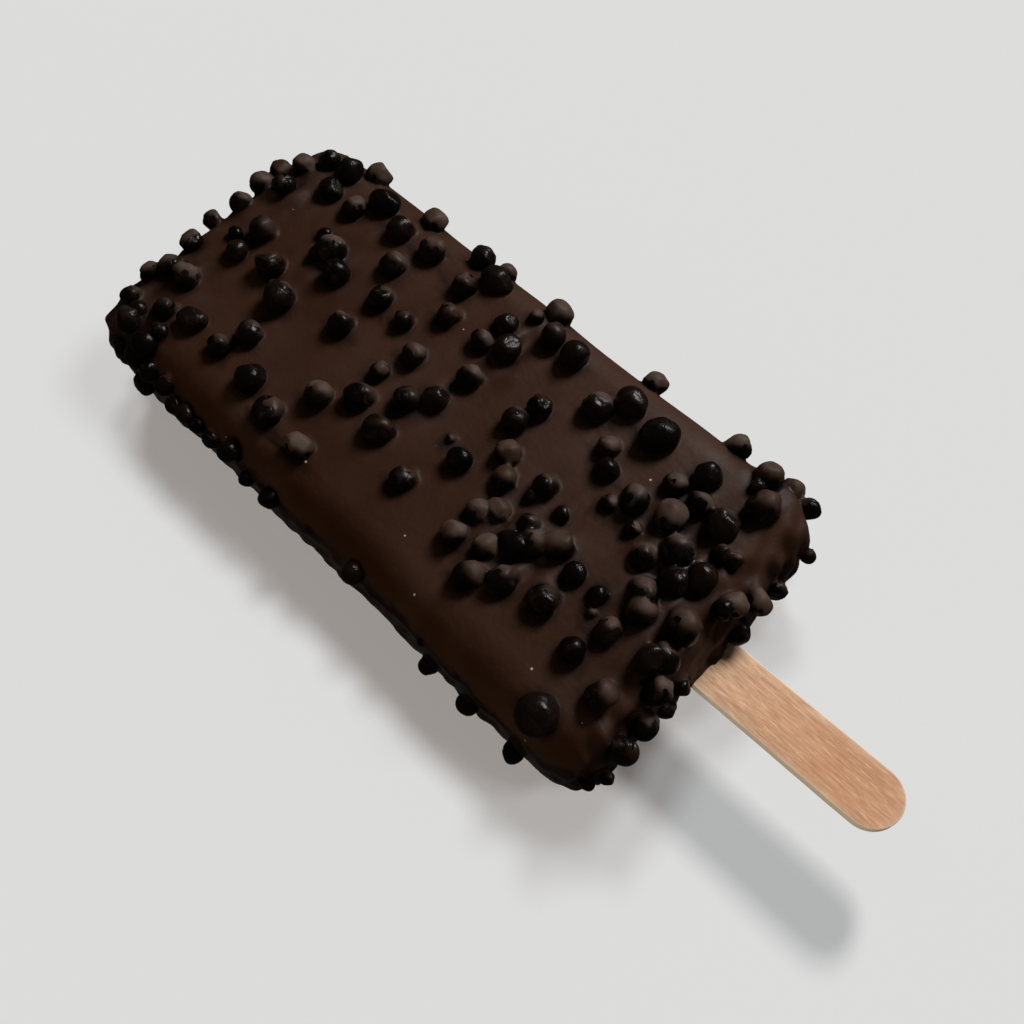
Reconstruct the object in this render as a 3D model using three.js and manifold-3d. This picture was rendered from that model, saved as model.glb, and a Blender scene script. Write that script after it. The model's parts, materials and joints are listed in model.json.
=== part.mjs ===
// Ice cream bar on a flat wooden stick, lying on its broad face.
//
// Two pieces: the coated bar, with the crunchy balls that are set in its
// chocolate coating, and the stick, which runs into a slot in one end of it.
// Millimetres.  +X runs along the bar towards the stick, +Z is up, and the
// origin is the bottom centre of the whole thing.  The shapes are worked out
// about the middle of the bar, and one group moves them to the origin.

import * as THREE from 'three';
import { mergeVertices } from 'three/addons/utils/BufferGeometryUtils.js';
import Module from 'manifold-3d';

// ---- driving dimensions ----------------------------------------------------

// the bar, measured to the skin of the coating between the balls
const BAR_L = 114.0;          // along X
const BAR_W = 54.2;           // along Y
const BAR_T = 22.0;           // along Z
const EDGE_R = 7.0;           // rounding of every edge and corner
const FACE_CORNER_R = 1.4;    // smallest plan radius, on the broad faces
const EDGE_STEPS = 3;         // facets round a quarter of an edge
const CORNER_STEPS = 3;       // facets round a plan corner

// the balls in the coating
const BALL_R = 2.36;          // usual radius, with its film of chocolate
const BALL_SPREAD = 0.34;     // radii run this far to each side of it
const BALL_LIFT = 0.48;       // centre above the skin, in radii
const BALL_FACET = 1.05;      // corners of its facets, in radii
const BALL_GAP = 0.98;        // least centre distance, in sums of radii
const AREA_END = 27.5;        // skin for each ball at the two ends, mm2
const AREA_MIDDLE = 56.0;     // skin for each ball at mid-length, mm2
const THINNER = 1.35;         // more skin for each ball off the top face
const BALL_TRIES = 2600;      // places tried
const FLAT_DROP = 3.05;       // skin of the underside above the table: balls
                              // that reach lower are set flat against it

// the stick
const STICK_W = 9.1;
const STICK_T = 2.0;
const STICK_OUT = 32.9;       // shows beyond the bar's end
const STICK_IN = 60.0;        // runs inside the bar, a 93 mm stick in all
const STICK_SIDE = 0.75;       // sits this far to +Y of the middle
const STICK_YAW = 1.0;        // degrees, where it leaves the end
const STICK_BEVEL = 0.22;     // softened arrises
const STICK_STEPS = 14;       // facets round its half-round end
const GAP = 0.3;              // between the stick and the slot it sits in

const SLIVER = 0.1;           // facets thinner than this are merged

const wasm = await Module();
wasm.setup();

// ---- helpers ----------------------------------------------------------------

// one repeatable stream of numbers from 0 to 1
function stream(seed) {
  let s = seed >>> 0;
  return () => {
    s = (Math.imul(s, 1664525) + 1013904223) >>> 0;
    return ((s >>> 8) & 0xffffff) / 0x1000000;
  };
}

function toSolid(geometry) {
  let g = geometry.clone();
  g.deleteAttribute('normal');
  g.deleteAttribute('uv');
  g = mergeVertices(g, 1e-4);
  return new wasm.Manifold(new wasm.Mesh({
    numProp: 3,
    vertProperties: new Float32Array(g.attributes.position.array),
    triVerts: new Uint32Array(g.index.array),
  }));
}

function toGeometry(solid) {
  const m = solid.getMesh();
  const g = new THREE.BufferGeometry();
  g.setAttribute('position', new THREE.BufferAttribute(new Float32Array(m.vertProperties), 3));
  g.setIndex(new THREE.BufferAttribute(new Uint32Array(m.triVerts), 1));
  g.computeVertexNormals();
  return g;
}

// ---- the bar ----------------------------------------------------------------

// a rounded rectangle in plan, counter-clockwise from +Z
function ringPoints(halfX, halfY, radius) {
  const pts = [];
  for (const [sx, sy, start] of [[1, 1, 0], [-1, 1, 90], [-1, -1, 180], [1, -1, 270]]) {
    for (let i = 0; i <= CORNER_STEPS; i++) {
      const a = THREE.MathUtils.degToRad(start + (90 * i) / CORNER_STEPS);
      pts.push([sx * (halfX - radius) + radius * Math.cos(a), sy * (halfY - radius) + radius * Math.sin(a)]);
    }
  }
  return pts;
}

// a block with every edge and corner rounded, as rings from the underside up
function bodyGeometry() {
  const hx = BAR_L / 2, hy = BAR_W / 2, hz = BAR_T / 2;
  const pos = [0, 0, -hz], index = [];
  const count = ringPoints(1, 1, 1).length;
  let rings = 0;
  for (const side of [-1, 1]) {
    for (let i = 0; i <= EDGE_STEPS; i++) {
      const a = (Math.PI / 2) * (side < 0 ? 1 - i / EDGE_STEPS : i / EDGE_STEPS);
      const reach = EDGE_R * Math.cos(a);
      const z = side * (hz - EDGE_R + EDGE_R * Math.sin(a));
      for (const [x, y] of ringPoints(hx - EDGE_R + reach, hy - EDGE_R + reach, Math.max(reach, FACE_CORNER_R))) {
        pos.push(x, y, z);
      }
      rings++;
    }
  }
  const top = pos.length / 3;
  pos.push(0, 0, hz);
  for (let i = 0; i < count; i++) {
    const j = (i + 1) % count;
    const last = 1 + (rings - 1) * count;
    index.push(0, 1 + j, 1 + i, top, last + i, last + j);
    for (let k = 0; k + 1 < rings; k++) {
      const a = 1 + k * count + i, b = 1 + k * count + j, c = a + count, d = b + count;
      index.push(a, b, d, a, d, c);
    }
  }
  const g = new THREE.BufferGeometry();
  g.setAttribute('position', new THREE.Float32BufferAttribute(pos, 3));
  g.setIndex(index);
  return g;
}

// a place on the skin, picked evenly by area: the place and its outward normal
function skinPlace(rand) {
  const hx = BAR_L / 2, hy = BAR_W / 2, hz = BAR_T / 2;
  const faces = [[hy * hx, 2], [hx * hz, 1], [hy * hz, 0]];
  let pick = rand() * faces.reduce((t, f) => t + f[0], 0);
  let axis = 2;
  for (const [area, ax] of faces) {
    if (pick < area) { axis = ax; break; }
    pick -= area;
  }
  const half = [hx, hy, hz];
  const p = half.map((h) => (2 * rand() - 1) * h);
  p[axis] = rand() < 0.5 ? -half[axis] : half[axis];
  // from the sharp box to the rounded one
  const core = p.map((v, i) => THREE.MathUtils.clamp(v, -(half[i] - EDGE_R), half[i] - EDGE_R));
  const n = new THREE.Vector3(p[0] - core[0], p[1] - core[1], p[2] - core[2]).normalize();
  return { at: new THREE.Vector3(...core).addScaledVector(n, EDGE_R), n };
}

// no ball grows where the stick comes out
function meetsStick(middle, r) {
  return middle.x > BAR_L / 2 - EDGE_R
    && Math.abs(middle.y - STICK_SIDE) < STICK_W / 2 + GAP + 0.7 * r
    && Math.abs(middle.z) < STICK_T / 2 + GAP + 0.7 * r;
}

// the balls thin out from both ends towards mid-length
function ballPlaces() {
  const rand = stream(20117);
  const placed = [];
  // one ball under the middle, so that the bar has a rest there
  placed.push({ at: new THREE.Vector3(0, 0, -BAR_T / 2), n: new THREE.Vector3(0, 0, -1), r: BALL_R });
  for (let t = 0; t < BALL_TRIES; t++) {
    const { at, n } = skinPlace(rand);
    const r = BALL_R + (rand() + rand() - 1) * BALL_SPREAD;
    const u = Math.min(1, Math.abs(at.x) / (BAR_L / 2));
    const area = (AREA_MIDDLE + (AREA_END - AREA_MIDDLE) * u * u) * (n.z > 0.5 ? 1 : THINNER);
    if (rand() > AREA_END / area) continue;
    const middle = at.clone().addScaledVector(n, r * BALL_LIFT);
    if (meetsStick(middle, r)) continue;
    if (placed.some((b) => b.middle && b.middle.distanceTo(middle) < BALL_GAP * (b.r + r) * Math.sqrt(area / AREA_END))) continue;
    placed.push({ at, n, r, middle });
  }
  for (const b of placed) b.middle ??= b.at.clone().addScaledVector(b.n, b.r * BALL_LIFT);
  return placed;
}

// each ball is a coarse round of twenty facets with one corner pointing out
function ballSolids() {
  const rand = stream(771);
  const corner = new THREE.Vector3(0, 1, (1 + Math.sqrt(5)) / 2).normalize();
  return ballPlaces().map(({ middle, n, r }) => {
    const g = new THREE.IcosahedronGeometry(r * BALL_FACET, 0);
    const turn = new THREE.Quaternion().setFromUnitVectors(corner, n);
    turn.premultiply(new THREE.Quaternion().setFromAxisAngle(n, rand() * 2 * Math.PI));
    const stretch = new THREE.Vector3(0.95 + 0.1 * rand(), 0.95 + 0.1 * rand(), 0.95 + 0.1 * rand());
    g.applyMatrix4(new THREE.Matrix4().compose(middle, turn, stretch));
    return toSolid(g);
  });
}

// ---- the stick ----------------------------------------------------------------

// flat, with both ends half round; extra widens it all round
function stickGeometry(extra, bevel) {
  const r = STICK_W / 2 + extra;
  const x0 = -STICK_IN - extra + r, x1 = STICK_OUT + extra - r;
  const s = new THREE.Shape();
  s.moveTo(x0, -r);
  s.lineTo(x1, -r);
  s.absarc(x1, 0, r, -Math.PI / 2, Math.PI / 2, false);
  s.lineTo(x0, r);
  s.absarc(x0, 0, r, Math.PI / 2, (3 * Math.PI) / 2, false);
  const t = STICK_T + 2 * extra;
  const g = new THREE.ExtrudeGeometry(s, {
    depth: t - 2 * bevel,
    curveSegments: STICK_STEPS,
    bevelEnabled: bevel > 0,
    bevelThickness: bevel,
    bevelSize: bevel,
    bevelOffset: -bevel,
    bevelSegments: 1,
  });
  g.translate(0, 0, -t / 2 + bevel);
  return g;
}

// where the stick leaves the bar's end, and the way it points
function placeStick(object) {
  object.position.set(BAR_L / 2, STICK_SIDE, 0);
  object.rotation.z = THREE.MathUtils.degToRad(STICK_YAW);
  object.updateMatrix();
  return object;
}

// ---- assembly -------------------------------------------------------------------

let bar = toSolid(bodyGeometry());
for (const ball of ballSolids()) bar = bar.add(ball);

const slot = stickGeometry(GAP, 0);
slot.applyMatrix4(placeStick(new THREE.Object3D()).matrix);
bar = bar.subtract(toSolid(slot));

// the balls on the underside are set flat where the bar lies
const under = new THREE.BoxGeometry(BAR_L + 40, BAR_W + 40, 20);
under.translate(0, 0, -BAR_T / 2 - FLAT_DROP - 10);
bar = bar.subtract(toSolid(under));
bar = bar.simplify(SLIVER);

const chocolate = new THREE.MeshStandardMaterial({ color: 0x3b2a24, roughness: 0.5, metalness: 0 });
const birch = new THREE.MeshStandardMaterial({ color: 0xd9b493, roughness: 0.75, metalness: 0 });

const barMesh = new THREE.Mesh(toGeometry(bar), chocolate);
barMesh.name = 'coated_bar';
const stickMesh = placeStick(new THREE.Mesh(stickGeometry(0, STICK_BEVEL), birch));
stickMesh.name = 'stick';

const whole = new THREE.Group();
whole.add(barMesh, stickMesh);
whole.updateMatrixWorld(true);
const box = new THREE.Box3().setFromObject(whole, true);
whole.position.set(-(box.min.x + box.max.x) / 2, -(box.min.y + box.max.y) / 2, -box.min.z);

const part = new THREE.Group();
part.name = 'ice_cream_bar';
part.add(whole);

export default part;
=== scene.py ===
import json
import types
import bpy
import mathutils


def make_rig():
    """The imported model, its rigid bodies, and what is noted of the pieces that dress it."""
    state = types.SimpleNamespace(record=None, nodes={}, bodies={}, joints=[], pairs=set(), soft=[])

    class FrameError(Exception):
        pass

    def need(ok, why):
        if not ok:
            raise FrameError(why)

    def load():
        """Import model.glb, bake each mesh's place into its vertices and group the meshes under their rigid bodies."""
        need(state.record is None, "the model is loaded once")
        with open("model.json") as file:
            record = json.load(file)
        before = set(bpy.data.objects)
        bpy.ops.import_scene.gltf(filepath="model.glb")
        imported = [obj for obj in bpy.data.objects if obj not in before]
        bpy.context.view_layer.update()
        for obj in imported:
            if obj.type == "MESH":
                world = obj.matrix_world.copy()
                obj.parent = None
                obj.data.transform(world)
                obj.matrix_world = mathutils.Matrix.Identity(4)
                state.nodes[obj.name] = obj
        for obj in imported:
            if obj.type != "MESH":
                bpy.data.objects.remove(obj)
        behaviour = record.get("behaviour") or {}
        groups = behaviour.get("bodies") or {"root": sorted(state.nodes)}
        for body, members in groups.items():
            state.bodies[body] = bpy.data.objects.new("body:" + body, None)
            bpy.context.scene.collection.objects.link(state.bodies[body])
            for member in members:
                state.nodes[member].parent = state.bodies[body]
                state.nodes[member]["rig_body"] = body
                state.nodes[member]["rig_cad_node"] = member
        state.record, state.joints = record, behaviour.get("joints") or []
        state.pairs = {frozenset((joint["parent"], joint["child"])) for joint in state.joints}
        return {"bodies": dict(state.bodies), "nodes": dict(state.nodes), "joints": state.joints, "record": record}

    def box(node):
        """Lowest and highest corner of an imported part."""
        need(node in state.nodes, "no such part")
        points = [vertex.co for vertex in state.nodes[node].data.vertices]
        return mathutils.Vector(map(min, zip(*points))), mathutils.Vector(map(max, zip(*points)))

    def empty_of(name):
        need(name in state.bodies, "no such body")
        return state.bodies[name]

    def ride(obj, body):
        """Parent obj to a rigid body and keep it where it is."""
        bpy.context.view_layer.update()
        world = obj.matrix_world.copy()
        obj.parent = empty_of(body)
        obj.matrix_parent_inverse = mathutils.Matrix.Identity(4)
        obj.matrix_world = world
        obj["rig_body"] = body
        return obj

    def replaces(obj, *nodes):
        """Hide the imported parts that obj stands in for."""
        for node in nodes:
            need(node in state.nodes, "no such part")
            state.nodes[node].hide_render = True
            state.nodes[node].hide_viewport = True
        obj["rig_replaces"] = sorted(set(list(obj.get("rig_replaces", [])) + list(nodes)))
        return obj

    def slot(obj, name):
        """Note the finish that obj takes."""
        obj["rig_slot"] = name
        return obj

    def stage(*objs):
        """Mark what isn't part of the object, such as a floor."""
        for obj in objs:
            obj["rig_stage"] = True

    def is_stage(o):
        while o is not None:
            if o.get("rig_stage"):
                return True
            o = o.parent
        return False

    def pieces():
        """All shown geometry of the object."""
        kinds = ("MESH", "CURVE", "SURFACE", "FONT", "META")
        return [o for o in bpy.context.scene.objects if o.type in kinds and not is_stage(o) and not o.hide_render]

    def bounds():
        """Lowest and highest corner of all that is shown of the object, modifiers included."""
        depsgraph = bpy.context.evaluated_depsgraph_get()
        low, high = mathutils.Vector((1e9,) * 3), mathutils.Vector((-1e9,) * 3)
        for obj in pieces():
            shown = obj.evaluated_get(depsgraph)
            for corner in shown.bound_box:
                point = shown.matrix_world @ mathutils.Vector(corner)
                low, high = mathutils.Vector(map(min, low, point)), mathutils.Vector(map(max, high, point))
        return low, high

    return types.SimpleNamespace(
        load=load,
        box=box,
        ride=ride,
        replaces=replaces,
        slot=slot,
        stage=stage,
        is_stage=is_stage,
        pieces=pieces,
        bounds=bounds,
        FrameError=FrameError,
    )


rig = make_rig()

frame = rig.load()

import json
import math

import bmesh
import bpy
import numpy as np
from mathutils import Matrix, Vector

MM = 0.001


def as_lists(box):
    lo, hi = box
    return [[float(v) for v in lo], [float(v) for v in hi]]


cad_bounds = as_lists(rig.bounds())

# ---------------------------------------------------------------------------
# Sizes of the bar, in millimetres about the middle of the bar, as in the CAD
# ---------------------------------------------------------------------------
BAR_L, BAR_W, BAR_T = 114.0, 54.2, 22.0
EDGE_R = 7.0
BALL_R = 2.36
LIFT = 0.5
FLAT_Z = -BAR_T / 2 - 3.05          # the table, under the bar

STICK_W, STICK_T = 9.1, 2.0
STICK_OUT, STICK_IN = 32.9, 60.0
STICK_SIDE, STICK_YAW = 0.75, math.radians(1.0)

# the middle of the bar in the row frame, worked out from the CAD stick's box
s_lo, s_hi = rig.box("stick")
tip = BAR_L / 2 + (STICK_OUT - STICK_W / 2) * math.cos(STICK_YAW) + STICK_W / 2
top_y = STICK_SIDE + (STICK_OUT - STICK_W / 2) * math.sin(STICK_YAW) + STICK_W / 2
X0 = s_hi.x / MM - tip
Y0 = s_hi.y / MM - top_y
Z0 = (s_lo.z + s_hi.z) / 2 / MM
MIDDLE = np.array([X0, Y0, Z0])

# where the view is taken from, about the middle of the bar, and how it is turned
EYE = np.array([77.227, -45.986, 149.01])
TURN = ((0.704314, -0.616760, 0.351494),
        (0.706758, 0.655663, -0.265703),
        (-0.066587, 0.435560, 0.897694))
LENS = 36.89

# ---------------------------------------------------------------------------
# The balls that show: middle x, y, z and radius, group by group
# ---------------------------------------------------------------------------
PLAIN_END = [
    (-51.4, 17.2, 11.9, 2.0), (-55.8, 14.7, 9.5, 2.0), (-55.9, 10.4, 9.6, 2.3), (-53.9, 4.7, 11.0, 2.1),
    (-55.8, -0.8, 9.5, 1.9), (-53.1, -6.6, 11.4, 2.1), (-51.1, -12.4, 12.0, 2.2), (-53.2, -15.5, 11.3, 1.9),
    (-51.3, -20.8, 11.8, 1.8), (-47.9, -24.0, 11.3, 2.5), (-47.3, -12.0, 12.2, 2.3), (-44.7, -18.6, 12.0, 2.0),
    (-50.2, 11.8, 12.1, 2.3), (-43.2, 16.8, 12.1, 2.3), (-44.1, 21.7, 12.1, 2.6), (-48.7, 21.0, 12.0, 2.1),
    (-41.1, 25.5, 10.1, 2.3),
]
FIRST_HALF = [
    (-37.1, 16.5, 12.1, 2.2), (-33.8, 21.0, 12.3, 2.7), (-27.5, 18.8, 12.3, 2.5), (-25.8, 25.0, 10.4, 2.2),
    (-20.3, 19.5, 12.2, 2.5), (-23.0, 13.0, 12.2, 2.3), (-19.4, 7.0, 12.1, 2.3), (-45.3, 2.9, 12.2, 2.4),
    (-45.3, -2.6, 12.0, 2.0), (-48.5, -0.5, 11.7, 1.4), (-38.4, -0.9, 12.2, 2.5), (-33.0, 8.1, 12.3, 2.7),
    (-36.8, 9.7, 11.7, 1.4), (-34.4, 6.0, 11.8, 1.7), (-28.7, 5.5, 12.3, 2.6), (-31.9, -4.1, 12.4, 2.8),
    (-20.3, -0.9, 12.2, 2.4), (-39.3, -16.8, 12.1, 2.3), (-31.8, -17.0, 12.0, 2.1), (-30.1, -12.2, 12.2, 2.4),
    (-23.1, -17.3, 12.3, 2.7), (-16.3, -19.7, 12.2, 2.5), (-8.0, -20.0, 12.1, 2.3), (-12.7, -12.0, 12.2, 2.3),
    (-7.8, -8.1, 12.2, 2.5), (-9.1, -2.3, 11.9, 1.7), (-7.2, 3.1, 12.1, 2.2), (-13.4, 6.6, 12.0, 1.9),
    (-8.7, 12.0, 12.0, 2.1), (-11.1, 18.0, 12.1, 2.3), (-13.4, 24.5, 10.9, 2.3), (-8.0, 22.6, 11.8, 2.3),
    (-9.5, 26.1, 9.0, 1.7),
]
SECOND_HALF = [
    (2.3, 6.3, 12.1, 2.2), (-1.9, -3.0, 12.0, 2.5), (1.2, 0.0, 12.1, 2.3), (-1.0, -9.7, 12.3, 2.6),
    (11.8, -4.7, 12.1, 2.2), (7.9, -13.0, 12.0, 2.1), (7.8, -3.0, 11.2, 0.9), (-0.6, 17.3, 12.0, 2.1),
    (2.8, 14.3, 12.2, 2.4), (-1.3, 12.5, 12.0, 1.9), (3.2, 25.5, 10.1, 2.3), (1.8, 21.7, 11.6, 1.4),
    (6.7, 20.6, 12.2, 2.4), (11.6, 20.4, 12.3, 2.6), (13.0, 5.8, 12.1, 2.3), (14.2, 9.9, 12.1, 2.1),
    (20.7, 15.7, 12.3, 2.6), (24.0, 20.0, 12.3, 2.6), (22.5, 27.2, 7.7, 2.1), (30.7, 18.2, 12.3, 2.9),
    (26.6, 11.5, 12.0, 1.9), (29.0, 9.1, 12.0, 2.1),
]
CLUSTER = [
    (16.2, 1.0, 12.0, 2.1), (18.9, -2.4, 12.0, 1.9), (24.1, 0.8, 12.0, 2.1), (23.7, -1.7, 11.6, 1.2),
    (29.0, -0.8, 11.7, 1.5), (19.8, -8.7, 12.0, 2.0), (21.7, -6.7, 11.9, 1.8), (20.0, -13.9, 12.1, 2.2),
    (24.8, -11.9, 12.0, 2.0), (26.7, -5.3, 11.9, 1.7), (27.5, -9.1, 12.1, 2.3), (29.5, -7.3, 12.1, 2.3),
    (32.4, -4.8, 12.2, 2.4), (26.1, -17.0, 12.2, 2.4), (30.2, -14.2, 12.2, 2.4), (36.6, -12.3, 12.2, 2.5),
    (36.8, -6.2, 12.0, 2.0), (41.5, -6.3, 11.8, 1.7), (42.4, -8.9, 11.4, 0.8),
]
STICK_END = [
    (45.9, -9.3, 12.0, 2.1), (44.4, -14.5, 12.1, 2.2), (51.3, -16.7, 11.9, 2.1), (47.0, -24.1, 11.2, 3.35),
    (35.3, 8.0, 12.2, 2.5), (32.9, 5.3, 11.7, 1.5), (37.8, 14.0, 12.0, 2.0), (40.5, 18.1, 12.2, 2.5),
    (40.9, 9.5, 12.3, 2.7), (42.4, 13.7, 12.1, 2.2), (47.1, 13.6, 12.3, 2.6), (49.6, 19.8, 12.2, 2.4),
    (39.5, 26.8, 8.4, 2.1), (46.5, 24.9, 10.6, 2.3), (49.7, 27.1, 7.7, 1.8), (46.5, 22.1, 11.4, 1.3),
    (38.0, 4.4, 11.7, 1.4), (42.2, 2.2, 12.0, 2.1), (45.2, 5.9, 12.3, 2.7), (47.7, 2.3, 12.2, 2.4),
    (50.2, 5.4, 12.2, 2.4), (49.6, 10.1, 11.8, 1.5), (51.7, 10.8, 11.4, 1.3), (45.9, -1.9, 12.2, 2.4),
    (47.5, -4.4, 12.2, 2.3), (53.0, -1.6, 11.6, 2.8), (52.7, -8.0, 11.6, 2.2), (54.2, -6.5, 10.9, 2.2),
    (55.8, 6.5, 9.5, 2.0), (54.8, 4.6, 10.2, 1.7), (57.4, 9.9, 7.1, 2.0), (57.7, 14.4, 4.4, 1.5),
    (57.9, 5.6, 4.3, 1.9), (53.4, 26.6, 6.8, 1.8), (57.4, 22.2, 3.3, 1.3),
    (56.1, -10.1, 9.5, 2.4), (57.5, -6.6, 5.5, 1.4), (57.7, -9.7, 3.3, 1.6), (57.7, -14.3, 6.4, 2.2),
    (57.7, -18.9, 6.8, 2.3), (57.5, -21.4, -3.5, 1.2), (56.4, -24.4, 1.2, 1.5),
]
LONG_SIDE = [
    (-43.5, -26.6, 8.6, 2.4), (-40.0, -26.9, 7.6, 2.1), (-42.0, -28.2, 3.6, 2.2), (-46.2, -26.9, 6.6, 2.2),
    (-35.7, -26.9, 7.8, 1.8), (-32.6, -27.9, 6.4, 1.7), (-29.6, -27.6, 6.8, 1.8), (-26.7, -27.8, 6.4, 1.5),
    (-23.0, -27.6, 6.3, 1.7), (-17.9, -27.2, 7.9, 2.2), (-13.6, -28.0, 5.4, 1.5), (-8.0, -27.8, 6.0, 1.9),
    (11.5, -27.4, 7.1, 1.9), (26.4, -27.2, 5.8, 0.8), (27.6, -28.0, -0.7, 1.8), (35.8, -28.1, -1.5, 1.9),
    (44.9, -28.0, -4.9, 1.9), (-47.8, -27.3, 7.5, 1.7), (-42.6, -24.8, 10.4, 2.5), (-41.9, -21.6, 11.8, 1.5), (-48.0, -21.7, 11.8, 1.7),
]

# which of them carry no film, which are all but covered, which are drawn out along
# a direction by how much, and which wear a thick blob of film
BARE = [(47.0, -24.1), (30.7, 18.2), (40.5, 18.1), (44.4, -14.5), (36.8, -6.2), (41.5, -6.3), (11.8, -4.7), (-44.1, 21.7),
        (-43.2, 16.8), (-33.8, 21.0), (-28.7, 5.5), (-39.3, -16.8), (-23.1, -17.3), (-45.3, -2.6), (-36.8, 9.7), (-8.0, 22.6),
        (2.8, 14.3), (-0.6, 17.3), (11.6, 20.4), (50.2, 5.4), (52.7, -8.0), (27.5, -9.1), (29.0, -0.8), (-43.5, -26.6),
        (-40.0, -26.9), (-42.0, -28.2), (-46.2, -26.9), (-32.6, -27.9), (-29.6, -27.6), (-26.7, -27.8), (-17.9, -27.2),
        (-13.6, -28.0), (-8.0, -27.8), (11.5, -27.4), (44.9, -28.0), (35.8, -28.1), (29.0, 9.1), (24.0, 20.0), (-48.5, -0.5),
        (-47.8, -27.3), (-42.6, -24.8), (-41.9, -21.6), (-48.0, -21.7)]
COVERED = [(16.2, 1.0), (18.9, -2.4), (20.0, -13.9), (19.8, -8.7), (40.9, 9.5), (42.2, 2.2), (-55.9, 10.4), (-51.4, 17.2),
           (-55.8, 14.7), (-41.1, 25.5), (-25.8, 25.0), (22.5, 27.2), (39.5, 26.8), (-8.0, -20.0), (46.5, 24.9), (49.7, 27.1),
           (24.8, -11.9), (21.7, -6.7), (55.8, 6.5), (57.4, 9.9), (3.2, 25.5), (-9.5, 26.1), (-53.2, -15.5)]
BLOB = {(51.3, -16.7): (0.35, 1.5), (26.6, 11.5): (0.30, 0.9), (47.5, -4.4): (0.10, 0.6), (49.6, 19.8): (0.20, 0.3), (26.1, -17.0): (0.20, 0.5),
        (32.4, -4.8): (0.18, 0.4), (-12.7, -12.0): (0.12, 0.4)}
DRAWN = {(30.7, 18.2): ((0.70, 0.70, 0.0), 0.28), (27.5, -9.1): ((0.80, 0.60, 0.0), 0.42), (-16.3, -19.7): ((-0.5, 0.8, 0.2), 0.22),
         (-7.8, -8.1): ((0.7, 0.7, 0.0), 0.12), (-8.0, 22.6): ((0.9, 0.1, 0.0), 0.35), (52.7, -8.0): ((0.3, 0.9, 0.0), 0.3),
         (-39.3, -16.8): ((0.7, 0.7, 0.0), 0.2), (49.6, 19.8): ((0.7, 0.6, 0.0), 0.2)}
TURNED = {(-51.1, -12.4): (-0.7, 0.3, 0.65), (-53.2, -15.5): (-0.6, 0.3, 0.7), (-47.3, -12.0): (-0.2, 0.8, 0.6), (-53.1, -6.6): (-0.7, 0.2, 0.7)}

HALF = np.array([BAR_L / 2, BAR_W / 2, BAR_T / 2])
CORE = HALF - EDGE_R


def block_distance(p):
    """Distance to the plain rounded block; p is (..., 3)."""
    q = np.abs(p) - CORE
    return np.linalg.norm(np.maximum(q, 0), axis=-1) + np.minimum(q.max(-1), 0) - EDGE_R


def block_normal(p):
    c = np.clip(p, -CORE, CORE)
    d = p - c
    n = np.linalg.norm(d, axis=-1, keepdims=True)
    return d / np.maximum(n, 1e-9)


def hidden_balls(shown):
    """The sides that are turned away get balls too, thicker at both ends."""
    rng = np.random.default_rng(4121)
    placed = [tuple(b) for b in shown]
    added = []
    faces = [(4 * HALF[0] * HALF[1], 2), (4 * HALF[0] * HALF[2], 1), (4 * HALF[1] * HALF[2], 0)]
    total = sum(a for a, _ in faces)
    for _ in range(5200):
        pick = rng.random() * total
        for a, ax in faces:
            if pick < a:
                break
            pick -= a
        p = (2 * rng.random(3) - 1) * HALF
        p[ax] = math.copysign(HALF[ax], p[ax])
        n = block_normal(p)
        at = np.clip(p, -CORE, CORE) + n * EDGE_R
        r = BALL_R + (rng.random() + rng.random() - 1) * 0.42
        chance = rng.random()
        u = min(1.0, abs(at[0]) / HALF[0])
        area = 54.0 + (27.0 - 54.0) * u * u
        if chance > 27.0 / area:
            continue
        c = at + n * r * LIFT
        # only where the bar itself hides the ball
        d = EYE - c
        d /= np.linalg.norm(d)
        line = c + d * np.linspace(0.0, 60.0, 90)[:, None]
        if block_distance(line).min() > -0.75 * r:
            continue
        if n[1] < -0.6 and c[2] > -2.0:
            continue
        if n[0] > 0.6 and abs(c[1] - STICK_SIDE) < STICK_W / 2 + r and abs(c[2]) < STICK_T / 2 + r:
            continue
        far = 0.98 * math.sqrt(area / 27.0)
        if any((c[0] - b[0]) ** 2 + (c[1] - b[1]) ** 2 + (c[2] - b[2]) ** 2 < (far * (r + b[3])) ** 2 for b in placed):
            continue
        ball = (float(c[0]), float(c[1]), float(c[2]), float(r))
        placed.append(ball)
        added.append(ball)
    return added


shown = PLAIN_END + FIRST_HALF + SECOND_HALF + CLUSTER + STICK_END + LONG_SIDE
unseen = hidden_balls(shown)
BALLS = np.array(shown + unseen, float)
BALLS[:len(shown), 3] *= 0.94
print("balls that show", len(shown), "others", len(unseen))


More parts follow.
